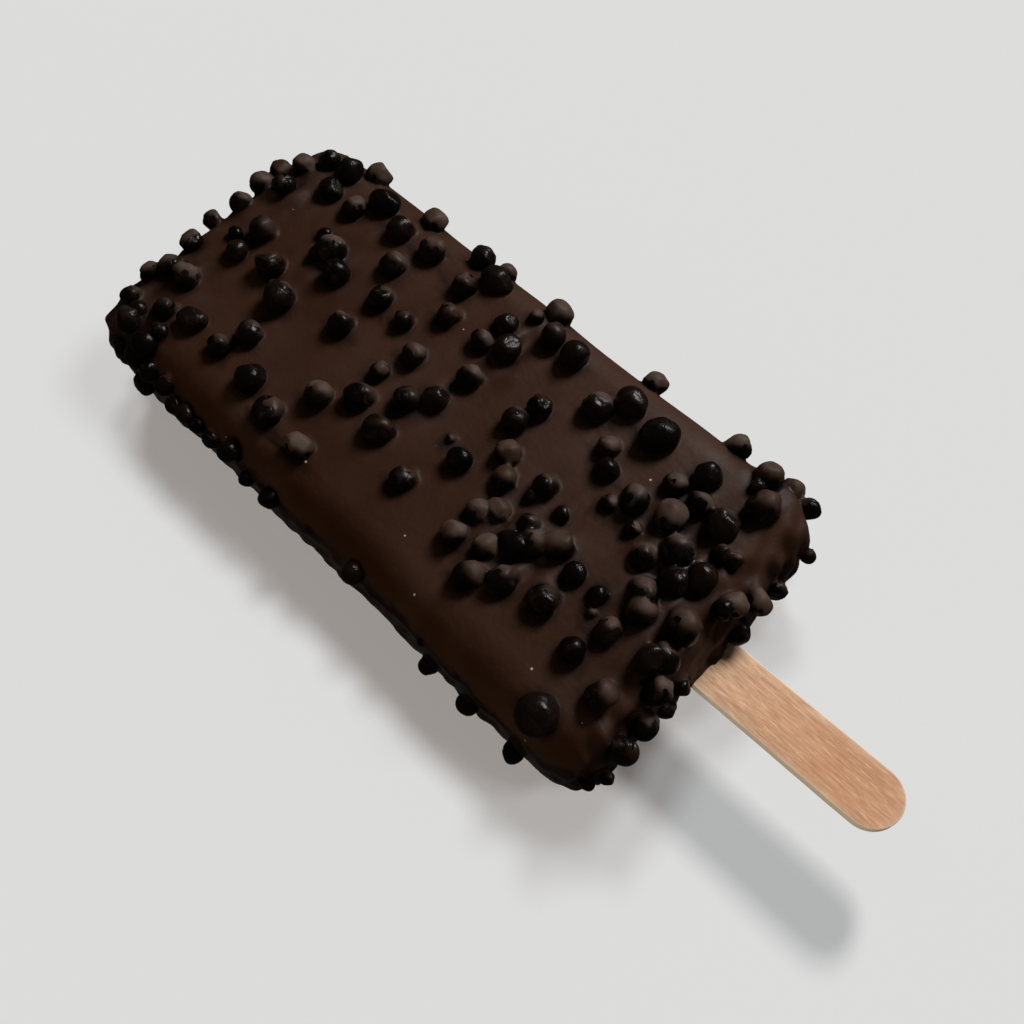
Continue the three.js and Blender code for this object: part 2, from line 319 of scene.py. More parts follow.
class Crisp:
    """One crisped ball: its own uneven shape, and the film that half covers it."""

    def __init__(self, i, at, r):
        rng = np.random.default_rng(9000 + i)
        self.at, self.r = np.array(at), r
        # a few soft waves and a few flattened sides
        self.k = rng.normal(size=(5, 3))
        self.k *= (rng.uniform(2.0, 5.2, 5) / np.linalg.norm(self.k, axis=1))[:, None]
        self.ph = rng.uniform(0, 2 * math.pi, 5)
        self.amp = rng.uniform(0.014, 0.040, 5)
        self.n = rng.normal(size=(6, 3))
        self.n /= np.linalg.norm(self.n, axis=1)[:, None]
        self.h = rng.uniform(0.80, 0.97, 6)
        long = rng.normal(size=3)
        self.long = long / np.linalg.norm(long)
        self.stretch = rng.uniform(-0.05, 0.12)
        # the film cap is put on the side that faces the key light, so its paler film and the black bare ball beyond it
        # paint the lit and the shaded side
        c = np.array([-0.05, 0.80, 0.60]) + rng.normal(size=3) * 0.22
        self.film_lit_side = c / np.linalg.norm(c)
        self.edge = rng.uniform(0.22, 0.74)
        self.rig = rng.normal(size=(6, 3))
        self.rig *= (rng.uniform(4.0, 11.0, 6) / np.linalg.norm(self.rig, axis=1))[:, None]
        self.fp = rng.uniform(0, 2 * math.pi, 6)
        self.fillet = rng.uniform(0.38, 0.6) * min(1.0, r / 2.0)
        self.tent = rng.uniform(0.9, 1.5) * min(1.0, r / 2.0)
        self.most, self.blob = 0.11, 0.0
        self.veil = rng.uniform(0.35, 0.95)
        key = (round(float(at[0]), 1), round(float(at[1]), 1))
        if key in BARE:
            self.edge = rng.uniform(1.45, 1.7)
            self.tent = 0.6
        if key in COVERED:
            self.edge = rng.uniform(-0.45, -0.1)
        if key in BLOB:
            self.most, self.blob = 0.11 + BLOB[key][0], BLOB[key][1]
            self.edge = 0.25
        if key in DRAWN:
            d, self.stretch = DRAWN[key]
            self.long = np.array(d) / np.linalg.norm(d)
        if key in TURNED:
            self.film_lit_side = np.array(TURNED[key]) / np.linalg.norm(TURNED[key])
            self.edge = rng.uniform(0.0, 0.3)

    def radius(self, d):
        f = 1.0 + self.stretch * (d @ self.long) ** 2
        for k, p, a in zip(self.k, self.ph, self.amp):
            f = f + a * np.sin(d @ k + p)
        for n, h in zip(self.n, self.h):
            u = d @ n
            g = h / np.maximum(u, 0.3)
            f = np.where(u > 0.3, soft_min(f, g, 0.05), f)
        return self.r * f

    def film(self, d):
        w = 0
        for k, p in zip(self.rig, self.fp):
            w = w + np.sin(d @ k + p)
        over = d @ self.film_lit_side - self.edge
        thick = np.clip(0.55 * over + 0.085 * w, -0.35, 0.11 + 0.07 * np.clip(w, 0, 1.5))
        if self.most > 0.11:
            thick = thick + (self.most - 0.11) * np.clip(over * 2.2, 0, 1) + self.blob * np.clip(over - 0.35, 0, 1) ** 2
        return thick

    def blend(self, d):
        u = np.clip((d @ self.film_lit_side + 0.1) / 0.9, 0, 1)
        return self.fillet + (self.tent - self.fillet) * u * u * (3 - 2 * u)


def soft_min(a, b, k):
    h = np.clip(0.5 + 0.5 * (b - a) / k, 0, 1)
    return b + (a - b) * h - k * h * (1 - h)


CRISPS = [Crisp(i, b[:3], b[3]) for i, b in enumerate(BALLS)]

# ---------------------------------------------------------------------------
# The coated bar as one field: block, film and balls run into each other
# ---------------------------------------------------------------------------
STEP = 0.42
LO = np.array([-62.4, -32.4, FLAT_Z - 0.9])
SIZE = np.array([124.8, 64.8, 30.6])
COUNT = np.ceil(SIZE / STEP).astype(int) + 1


def waves(P, seed, length, number):
    """A smooth uneven field of unit size: plane waves of about one length."""
    rng = np.random.default_rng(seed)
    out = np.zeros(P[0].shape, np.float32)
    for _ in range(number):
        k = rng.normal(size=3)
        k *= 2 * math.pi / (length * rng.uniform(0.75, 1.5) * np.linalg.norm(k))
        out += np.sin(P[0] * np.float32(k[0]) + P[1] * np.float32(k[1]) + P[2] * np.float32(k[2]) + np.float32(rng.uniform(0, 6.28)))
    return out / math.sqrt(number / 2)


def foot_height(x):
    """How high the ledge of the coating reaches on the long side, along the bar; below it the side is painted
    near-black as shade.
    """
    far = np.clip((-34.0 - x) / 9.0, 0, 1)
    return 6.4 + 3.6 * far + 0.5 * np.sin(x * 0.37) + 0.35 * np.sin(x * 0.91 + 1.0) - 2.2 * np.clip((x - 34.0) / 6.0, 0, 1)


def coat_field():
    axes = [(LO[i] + STEP * np.arange(COUNT[i])).astype(np.float32) for i in range(3)]
    X, Y, Z = np.meshgrid(*axes, indexing="ij")
    P = (X, Y, Z)
    q = [np.abs(P[i]) - np.float32(CORE[i]) for i in range(3)]
    D = np.sqrt(np.maximum(q[0], 0) ** 2 + np.maximum(q[1], 0) ** 2 + np.maximum(q[2], 0) ** 2)
    D += np.minimum(np.maximum(np.maximum(q[0], q[1]), q[2]), 0) - np.float32(EDGE_R)
    # the dipped coating: a slight crown, slow unevenness, soft small lumps
    u = np.clip(np.abs(X) / HALF[0], 0, 1)
    v = np.clip(np.abs(Y) / HALF[1], 0, 1)
    top = np.clip((np.abs(Z) - 6.0) / 4.0, 0, 1)
    D -= (0.45 * (1 - u ** 4) * (1 - v * v) * top).astype(np.float32)
    D -= 0.16 * waves(P, 5, 34.0, 7) + 0.055 * waves(P, 6, 10.0, 9)
    # film pooled among the crowded balls, lumpy there
    lumps = waves(P, 14, 3.8, 12)
    crowd = np.zeros_like(D)
    for x, y, z, reach, thick in POOLS:
        g = np.exp(-((X - x) ** 2 + (Y - y) ** 2 + (Z - z) ** 2) / reach ** 2).astype(np.float32)
        D -= thick * g
        crowd = np.maximum(crowd, g)
    D -= 0.42 * crowd * lumps
    # folds that run across the stick's end, and the ledge low on the long side
    end = np.clip((X - 50.0) / 5.0, 0, 1)
    D -= 0.30 * end * waves((X, 0.9 * Y, 0.3 * Z), 21, 2.6, 9)
    side = np.clip((-Y - 22.5) / 3.5, 0, 1)
    rise = np.clip((foot_height(X) - Z) / 1.6, 0, 1)
    ledge = rise * rise * (3 - 2 * rise) * np.clip((Z + 9.0) / 4.0, 0, 1)
    D -= (side * ledge * (0.42 + 0.16 * lumps)).astype(np.float32)
    # each ball, its film blended in over its own neighbourhood only
    for ball in CRISPS:
        reach = ball.r * 1.15 + 2.0
        lo = np.maximum(np.floor((ball.at - reach - LO) / STEP).astype(int), 0)
        hi = np.minimum(np.ceil((ball.at + reach - LO) / STEP).astype(int) + 1, COUNT)
        if (hi <= lo).any():
            continue
        s = tuple(slice(a, b) for a, b in zip(lo, hi))
        p = np.stack([P[j][s] - np.float32(ball.at[j]) for j in range(3)], -1).astype(float)
        rho = np.linalg.norm(p, axis=-1)
        d = p / np.maximum(rho, 1e-6)[..., None]
        shell = rho - ball.radius(d) - ball.film(d)
        D[s] = soft_min(D[s], shell.astype(np.float32), ball.blend(d).astype(np.float32))
    # a little collar of coating where the stick comes out
    c, sn = math.cos(STICK_YAW), math.sin(STICK_YAW)
    ux = (X - BAR_L / 2) * c + (Y - STICK_SIDE) * sn
    uy = -(X - BAR_L / 2) * sn + (Y - STICK_SIDE) * c

    def flat(grow):
        e = np.maximum(np.abs(uy) - (STICK_W / 2 + grow), np.abs(Z) - (STICK_T / 2 + grow))
        return e

    collar = np.maximum(flat(0.35), ux - (0.75 + 0.35 * np.sin(uy * 0.9 + 1.0) + 0.2 * np.sin(Z * 2.1)))
    collar = np.maximum(collar, -4.0 - ux)
    D = soft_min(D, collar.astype(np.float32), 1.3)
    # the slot: tight at its mouth, just clear of the stick further in
    grow = np.where(ux > -2.5, -0.06, 0.14)
    slot = np.maximum(np.maximum(flat(0) - grow, ux - 12.0), -STICK_IN - 0.3 - ux)
    D = np.maximum(D, -slot.astype(np.float32))
    # flat where it lies
    D = np.maximum(D, (FLAT_Z + 0.06) - Z)
    return D


def untangle(D):
    """Where only two opposite corners of a grid face lie inside, takes a third one in,
    so that every edge of the surface has just two faces."""
    for _ in range(12):
        fixed = 0
        for ax in range(3):
            o1, o2 = [i for i in range(3) if i != ax]
            part = {}
            for a in (0, 1):
                for b in (0, 1):
                    cut = [slice(None)] * 3
                    cut[o1] = slice(a, D.shape[o1] - 1 + a)
                    cut[o2] = slice(b, D.shape[o2] - 1 + b)
                    part[a, b] = D[tuple(cut)] < 0
            one = part[0, 0] & part[1, 1] & ~part[0, 1] & ~part[1, 0]
            two = part[0, 1] & part[1, 0] & ~part[0, 0] & ~part[1, 1]
            for where, pair in ((one, ((0, 1), (1, 0))), (two, ((0, 0), (1, 1)))):
                for at in np.argwhere(where):
                    spots = []
                    for a, b in pair:
                        q = at.copy()
                        q[o1] += a
                        q[o2] += b
                        spots.append(tuple(q))
                    D[min(spots, key=lambda q: D[q])] = -0.02
                    fixed += 1
        if not fixed:
            break
    return D


def surface(D):
    """Polygonises the zero level: one vertex a cell, one quad an edge."""
    inside = D < 0
    n = [slice(None, -1), slice(1, None)]
    corners = [(i, j, k) for i in (0, 1) for j in (0, 1) for k in (0, 1)]
    count = sum(inside[n[i], n[j], n[k]].astype(np.int8) for i, j, k in corners)
    active = (count > 0) & (count < 8)
    cells = np.argwhere(active)
    index = -np.ones(active.shape, np.int32)
    index[active] = np.arange(len(cells), dtype=np.int32)
    acc = np.zeros((len(cells), 3))
    hits = np.zeros(len(cells))
    value = {c: D[cells[:, 0] + c[0], cells[:, 1] + c[1], cells[:, 2] + c[2]] for c in corners}
    for a in corners:
        for ax in range(3):
            if a[ax]:
                continue
            b = list(a)
            b[ax] = 1
            b = tuple(b)
            da, db = value[a], value[b]
            m = (da < 0) != (db < 0)
            t = np.where(m, da / np.where(m, da - db, 1), 0)
            pt = np.tile(np.array(a, float), (len(cells), 1))
            pt[:, ax] += t
            acc[m] += pt[m]
            hits[m] += 1
    V = cells + acc / hits[:, None]
    quads = []
    for ax in range(3):
        o1, o2 = [i for i in range(3) if i != ax]
        lo = [slice(None)] * 3
        hi = [slice(None)] * 3
        lo[ax], hi[ax] = slice(None, -1), slice(1, None)
        change = inside[tuple(lo)] != inside[tuple(hi)]
        e = np.argwhere(change)
        ok = (e[:, o1] > 0) & (e[:, o2] > 0) & (e[:, o1] < active.shape[o1]) & (e[:, o2] < active.shape[o2])
        e = e[ok]
        ring = []
        for d1, d2 in ((-1, -1), (0, -1), (0, 0), (-1, 0)):
            c = e.copy()
            c[:, o1] += d1
            c[:, o2] += d2
            ring.append(index[c[:, 0], c[:, 1], c[:, 2]])
        quad = np.stack(ring, 1)
        start_in = inside[e[:, 0], e[:, 1], e[:, 2]]
        flip = start_in if ax != 1 else ~start_in
        quad[~flip] = quad[~flip][:, ::-1]
        quads.append(quad)
    quads = np.concatenate(quads)

    # draw each vertex onto the zero level
    def sample(U):
        U = np.clip(U, 0, np.array(D.shape) - 1.001)
        f = np.floor(U).astype(int)
        w = U - f
        out = 0
        for i, j, k in corners:
            out = out + D[f[:, 0] + i, f[:, 1] + j, f[:, 2] + k] * (
                (w[:, 0] if i else 1 - w[:, 0]) * (w[:, 1] if j else 1 - w[:, 1]) * (w[:, 2] if k else 1 - w[:, 2]))
        return out

    start = V.copy()
    for _ in range(3):
        d = sample(V)
        g = np.stack([sample(V + 0.5 * np.eye(3)[i]) - sample(V - 0.5 * np.eye(3)[i]) for i in range(3)], 1)
        V = V - g * (d / np.maximum((g * g).sum(1), 1e-6))[:, None]
        V = start + np.clip(V - start, -0.6, 0.6)
    return LO + V * STEP, quads


def mesh_from(name, verts_mm, faces):
    me = bpy.data.meshes.new(name)
    co = (np.asarray(verts_mm, float) + MIDDLE) * MM
    faces = np.asarray(faces, np.int32)
    k = faces.shape[1]
    me.vertices.add(len(co))
    me.vertices.foreach_set("co", co.astype(np.float32).ravel())
    me.loops.add(faces.size)
    me.loops.foreach_set("vertex_index", faces.ravel())
    me.polygons.add(len(faces))
    me.polygons.foreach_set("loop_start", np.arange(0, faces.size, k, dtype=np.int32))
    me.update(calc_edges=True)
    me.validate()
    ob = bpy.data.objects.new(name, me)
    bpy.context.scene.collection.objects.link(ob)
    return ob


def apply_modifiers(ob):
    bpy.context.view_layer.update()
    dg = bpy.context.evaluated_depsgraph_get()
    new = bpy.data.meshes.new_from_object(ob.evaluated_get(dg), depsgraph=dg)
    old = ob.data
    ob.modifiers.clear()
    ob.data = new
    bpy.data.meshes.remove(old)
    new.name = ob.name
    return ob


POOLS = [
    (26.0, -7.0, 11.0, 7.0, 0.45), (31.0, -11.0, 11.0, 5.0, 0.25),
    (47.0, 1.0, 11.0, 8.0, 0.45), (45.0, 9.0, 11.0, 7.0, 0.3), (53.0, -6.0, 10.0, 6.0, 0.35),
    (-51.0, 13.0, 11.0, 8.0, 0.4), (-51.0, -14.0, 11.0, 8.0, 0.4), (3.0, 14.5, 11.0, 5.0, 0.25),
    (-1.0, -2.0, 11.0, 4.0, 0.25), (-31.0, 6.5, 11.0, 4.5, 0.2), (56.0, 8.0, 7.0, 5.0, 0.25),
    (57.0, -16.0, 6.0, 5.0, 0.3), (-56.0, 2.0, 6.0, 9.0, 0.3), (-55.0, -20.0, 7.0, 6.0, 0.3),
    (48.0, 25.5, 9.0, 4.5, 0.9), (-49.0, -24.5, 8.5, 6.0, 1.0), (-52.5, -14.0, 10.5, 4.0, 0.7), (44.5, -3.5, 11.0, 4.0, 0.3),
]

import time
t0 = time.time()
D = coat_field()
print("field %.1fs" % (time.time() - t0))
verts, quads = surface(untangle(D))
print("surface %.1fs verts %d quads %d" % (time.time() - t0, len(verts), len(quads)))
coat = mesh_from("coating", verts, quads)
dec = coat.modifiers.new("thin", "DECIMATE")
dec.ratio = min(1.0, 186000 / (2 * len(quads)))
apply_modifiers(coat)
coat.data.shade_smooth()
print("coat %.1fs tris %d" % (time.time() - t0, len(coat.data.polygons)))

# (x, y, reach, how much): where the coat is paler (+) or darker (-): partly uneven colour, partly painted sheen and
# painted shade
TONE_SHEEN_SHADE = [(22.0, 10.0, 9.0, 0.60), (35.5, 22.5, 6.0, 0.45), (8.5, 2.5, 5.5, -0.55), (-26.5, 3.0, 7.0, -0.90), (-22.5, -10.0, 5.0, -0.35), (-10.0, -2.0, 6.0, 0.20),
         (-3.5, -18.5, 9.0, -0.45), (10.0, -20.0, 8.0, -0.50), (47.5, -12.5, 7.0, -1.00), (-48.0, 15.0, 8.0, 0.25), (30.0, -22.0, 7.0, 0.15)]

# how near each place on the coating is to a ball: 0 between them, 1 on their film
co = np.zeros(len(coat.data.vertices) * 3, np.float32)
coat.data.vertices.foreach_get("co", co)
co = co.reshape(-1, 3).astype(float) / MM - MIDDLE
best = np.full(len(co), 9.0)
thin = np.zeros(len(co))
away = np.zeros(len(co))
for ball in CRISPS:
    v = co - ball.at
    rho = np.linalg.norm(v, axis=1)
    d = rho - ball.r
    nearer = d < best
    best = np.minimum(best, d)
    # thin: each ball's film fades to near-black on the side away from the key light, painted shade over a film that
    # also thins there; away: how far a point lies on that shaded side
    over = (v @ ball.film_lit_side) / rho - ball.edge
    fade = np.clip(1 - over / ball.veil, 0, 1)
    thin = np.where(nearer, fade * fade * (3 - 2 * fade), thin)
    away = np.where(nearer, np.clip(-(v @ ball.film_lit_side) / rho * 1.3, 0, 1), away)
on_ball = np.clip((0.9 - best) / 0.8, 0, 1)
on_ball = on_ball * on_ball * (3 - 2 * on_ball)
high = block_distance(co)
# a painted shadow round the foot of each ball, reaching furthest on its shaded side
painted_ball_shadow = np.clip(1 - best / (0.9 + 1.1 * away), 0, 1) * np.clip((1.2 - high) / 0.5, 0, 1) * (0.6 + 0.4 * away)
on_ball *= np.clip((high - 0.5) / 0.6, 0, 1)
thin *= on_ball
crowd = np.zeros(len(co))
for x, y, z, reach, thick in POOLS:
    crowd = np.maximum(crowd, np.exp(-((co[:, 0] - x) ** 2 + (co[:, 1] - y) ** 2 + (co[:, 2] - z) ** 2) / reach ** 2) * min(1.0, thick / 0.4))
ny = block_normal(co)[:, 1]
# the lower part of the long side that the key light misses, and a patch at its far corner: the mask for painted shade
low = -5.2 + 0.8 * np.sin(co[:, 0] * 0.5 + co[:, 1] * 0.4)
side = np.clip((-ny - 0.5) / 0.25, 0, 1)
limit = low + (foot_height(co[:, 0]) + 0.35 * np.sin(co[:, 0] * 2.3) - low) * side
painted_side_shade = np.clip((limit - co[:, 2]) / 0.7 + 0.5, 0, 1)
painted_side_shade = np.maximum(painted_side_shade, np.clip(1.6 * np.exp(-((co[:, 0] + 45.5) ** 2 + (co[:, 1] + 25.5) ** 2 + (co[:, 2] - 9.5) ** 2) / 4.6 ** 2) - 0.3, 0, 1))
end = np.clip((co[:, 0] - 53.5) / 3.0, 0, 1)
# the coat's top made paler or darker in these patches: partly uneven colour, partly painted sheen and painted shade
tone_sheen_shade = np.zeros(len(co))
for x, y, reach, much in TONE_SHEEN_SHADE:
    tone_sheen_shade += much * np.exp(-((co[:, 0] - x) ** 2 + (co[:, 1] - y) ** 2) / reach ** 2)
tone_sheen_shade = np.clip(tone_sheen_shade, -1, 1) * np.clip((co[:, 2] - 2.0) / 6.0, 0, 1)
for name, data in (("on_ball", on_ball), ("thin", thin), ("painted_ball_shadow", painted_ball_shadow), ("crowd", crowd), ("painted_side_shade", painted_side_shade), ("end", end), ("tone_sheen_shade", tone_sheen_shade)):
    at = coat.data.attributes.new(name, "FLOAT", "POINT")
    at.data.foreach_set("value", data.astype(np.float32))


def geodesic(freq):
    """Unit directions and triangles of an icosahedron with each edge cut in freq."""
    g = (1 + math.sqrt(5)) / 2
    V = [(-1, g, 0), (1, g, 0), (-1, -g, 0), (1, -g, 0), (0, -1, g), (0, 1, g), (0, -1, -g), (0, 1, -g), (g, 0, -1), (g, 0, 1), (-g, 0, -1), (-g, 0, 1)]
    F = [(0, 11, 5), (0, 5, 1), (0, 1, 7), (0, 7, 10), (0, 10, 11), (1, 5, 9), (5, 11, 4), (11, 10, 2), (10, 7, 6), (7, 1, 8),
         (3, 9, 4), (3, 4, 2), (3, 2, 6), (3, 6, 8), (3, 8, 9), (4, 9, 5), (2, 4, 11), (6, 2, 10), (8, 6, 7), (9, 8, 1)]
    V = np.array(V, float)
    V /= np.linalg.norm(V, axis=1)[:, None]
    seen, dirs, tris = {}, [], []

    def put(p):
        p = p / np.linalg.norm(p)
        key = tuple(np.round(p, 5))
        if key not in seen:
            seen[key] = len(dirs)
            dirs.append(p)
        return seen[key]

    for a, b, c in F:
        rows = []
        for i in range(freq + 1):
            rows.append([put(V[a] * (freq - i) / freq + V[b] * (i - j) / freq + V[c] * j / freq) for j in range(i + 1)])
        for i in range(freq):
            for j in range(i + 1):
                tris.append((rows[i][j], rows[i + 1][j], rows[i + 1][j + 1]))
                if j < i:
                    tris.append((rows[i][j], rows[i + 1][j + 1], rows[i][j + 1]))
    return np.array(dirs), np.array(tris)


fine_ball, plain_ball = geodesic(6), geodesic(5)
allv, allf, base, tint = [], [], 0, []
pick = np.random.default_rng(12)
for i, ball in enumerate(CRISPS):
    dirs, tris = fine_ball if i < len(shown) else plain_ball
    turn, _ = np.linalg.qr(pick.normal(size=(3, 3)))
    if np.linalg.det(turn) < 0:
        turn[:, 0] *= -1
    d = dirs @ turn.T
    v = ball.at + d * ball.radius(d)[:, None]
    v[:, 2] = np.maximum(v[:, 2], FLAT_Z + 0.02)
    allv.append(v)
    allf.append(tris + base)
    base += len(v)
    tint.append(np.full(len(v), pick.random()))
crisps = mesh_from("crisp_balls", np.concatenate(allv), np.concatenate(allf))
crisps.data.shade_smooth()
at = crisps.data.attributes.new("tint", "FLOAT", "POINT")
at.data.foreach_set("value", np.concatenate(tint).astype(np.float32))
print("balls", len(CRISPS), "triangles", len(crisps.data.polygons))

# ---------------------------------------------------------------------------
# The stick: flat, half-round ends, soft arrises
# ---------------------------------------------------------------------------


def stick_mesh():
    r = STICK_W / 2
    x0, x1 = -STICK_IN + r, STICK_OUT - r
    outline = []
    n_end, n_side = 28, 46
    for i in range(n_end + 1):
        a = -math.pi / 2 + math.pi * i / n_end
        outline.append((x1, math.cos(a), math.sin(a)))
    for i in range(1, n_side):
        outline.append((x1 + (x0 - x1) * i / n_side, 0.0, 1.0))
    for i in range(n_end + 1):
        a = math.pi / 2 + math.pi * i / n_end
        outline.append((x0, math.cos(a), math.sin(a)))
    for i in range(1, n_side):
        outline.append((x0 + (x1 - x0) * i / n_side, 0.0, -1.0))
    b = 0.28
    profile = []
    for i in range(5):
        a = math.pi / 2 * i / 4
        profile.append((b * (1 - math.sin(a)), -STICK_T / 2 + b * (1 - math.cos(a))))
    profile = profile + [(p[0], -p[1]) for p in reversed(profile)]
    profile = [(1.4, -STICK_T / 2)] + profile + [(1.4, STICK_T / 2)]
    verts, faces = [], []
    m = len(outline)
    for inset, z in profile:
        for cx, nx, ny in outline:
            x = cx + nx * (r - inset)
            y = ny * (r - inset)
            wob = 0.03 * math.sin(x * 0.31 + 1.0) + 0.02 * math.sin(x * 0.83)
            verts.append((x, y + wob * (1 if ny > 0 else -0.6), z))
    for k in range(len(profile) - 1):
        for i in range(m):
            j = (i + 1) % m
            faces.append((k * m + i, k * m + j, (k + 1) * m + j, (k + 1) * m + i))
    c, s = math.cos(STICK_YAW), math.sin(STICK_YAW)
    out = []
    for x, y, z in verts:
        out.append(((BAR_L / 2 + x * c - y * s + X0) * MM, (STICK_SIDE + x * s + y * c + Y0) * MM, (z + Z0) * MM))
    me = bpy.data.meshes.new("wooden_stick")
    top = tuple((len(profile) - 1) * m + i for i in range(m))
    bottom = tuple(reversed(range(m)))
    me.from_pydata(out, [], faces + [top, bottom])
    me.update()
    bm = bmesh.new()
    bm.from_mesh(me)
    bmesh.ops.recalc_face_normals(bm, faces=bm.faces)
    bmesh.ops.triangulate(bm, faces=[f for f in bm.faces if len(f.verts) > 4])
    bm.to_mesh(me)
    bm.free()
    me.shade_smooth()
    # the sawn edge and its arris, paler than the faces
    flat = np.zeros(len(me.vertices) * 3, np.float32)
    me.vertices.foreach_get("co", flat)
    flat = flat.reshape(-1, 3).astype(float) / MM - np.array([BAR_L / 2 + X0, STICK_SIDE + Y0, Z0])
    ux = flat[:, 0] * c + flat[:, 1] * s
    uy = -flat[:, 0] * s + flat[:, 1] * c
    over = np.maximum(ux - x1, 0) + np.minimum(ux - x0, 0)
    reach = np.hypot(over, uy)
    at = me.attributes.new("arris", "FLOAT", "POINT")
    at.data.foreach_set("value", np.clip((reach - (r - 0.32)) / 0.25, 0, 1).astype(np.float32))
    ob = bpy.data.objects.new("wooden_stick", me)
    bpy.context.scene.collection.objects.link(ob)
    return ob


stick = stick_mesh()

# ---------------------------------------------------------------------------
# Materials
# ---------------------------------------------------------------------------


def nodes_of(name):
    mat = bpy.data.materials.new(name)
    mat.use_nodes = True
    nt = mat.node_tree
    nt.nodes.clear()
    out = nt.nodes.new("ShaderNodeOutputMaterial")
    bsdf = nt.nodes.new("ShaderNodeBsdfPrincipled")
    nt.links.new(bsdf.outputs["BSDF"], out.inputs["Surface"])
    return mat, nt, bsdf


def noise(nt, coord, scale, detail=3.0, rough=0.55, distortion=0.0):
    n = nt.nodes.new("ShaderNodeTexNoise")
    n.inputs["Scale"].default_value = scale
    n.inputs["Detail"].default_value = detail
    n.inputs["Roughness"].default_value = rough
    n.inputs["Distortion"].default_value = distortion
    nt.links.new(coord, n.inputs["Vector"])
    return n.outputs["Fac"]


def ramp(nt, fac, stops):
    r = nt.nodes.new("ShaderNodeValToRGB")
    el = r.color_ramp.elements
    while len(el) > 1:
        el.remove(el[-1])
    el[0].position, el[0].color = stops[0][0], (*stops[0][1], 1)
    for p, c in stops[1:]:
        e = el.new(p)
        e.color = (*c, 1)
    nt.links.new(fac, r.inputs["Fac"])
    return r.outputs["Color"]


def mixc(nt, fac, a, b, mode="MIX"):
    m = nt.nodes.new("ShaderNodeMix")
    m.data_type = "RGBA"
    m.blend_type = mode
    for sock, v in ((m.inputs[0], fac), (m.inputs[6], a), (m.inputs[7], b)):
        if isinstance(v, (int, float)):
            sock.default_value = v
        elif isinstance(v, tuple):
            sock.default_value = (*v, 1)
        else:
            nt.links.new(v, sock)
    return m.outputs[2]


def maths(nt, op, a, b=None, clamp=False):
    m = nt.nodes.new("ShaderNodeMath")
    m.operation = op
    m.use_clamp = clamp
    for sock, v in zip(m.inputs, (a, b)):
        if v is None:
            continue
        if isinstance(v, (int, float)):
            sock.default_value = v
        else:
            nt.links.new(v, sock)
    return m.outputs[0]


def span(nt, v, lo, hi, to_lo=0.0, to_hi=1.0):
    m = nt.nodes.new("ShaderNodeMapRange")
    m.inputs["From Min"].default_value = lo
    m.inputs["From Max"].default_value = hi
    m.inputs["To Min"].default_value = to_lo
    m.inputs["To Max"].default_value = to_hi
    nt.links.new(v, m.inputs["Value"])
    return m.outputs["Result"]


def attribute(nt, name):
    a = nt.nodes.new("ShaderNodeAttribute")
    a.attribute_name = name
    return a.outputs["Fac"]


def bump(nt, height, strength, distance, normal=None):
    b = nt.nodes.new("ShaderNodeBump")
    b.inputs["Strength"].default_value = strength
    b.inputs["Distance"].default_value = distance
    nt.links.new(height, b.inputs["Height"])
    if normal is not None:
        nt.links.new(normal, b.inputs["Normal"])
    return b.outputs["Normal"]


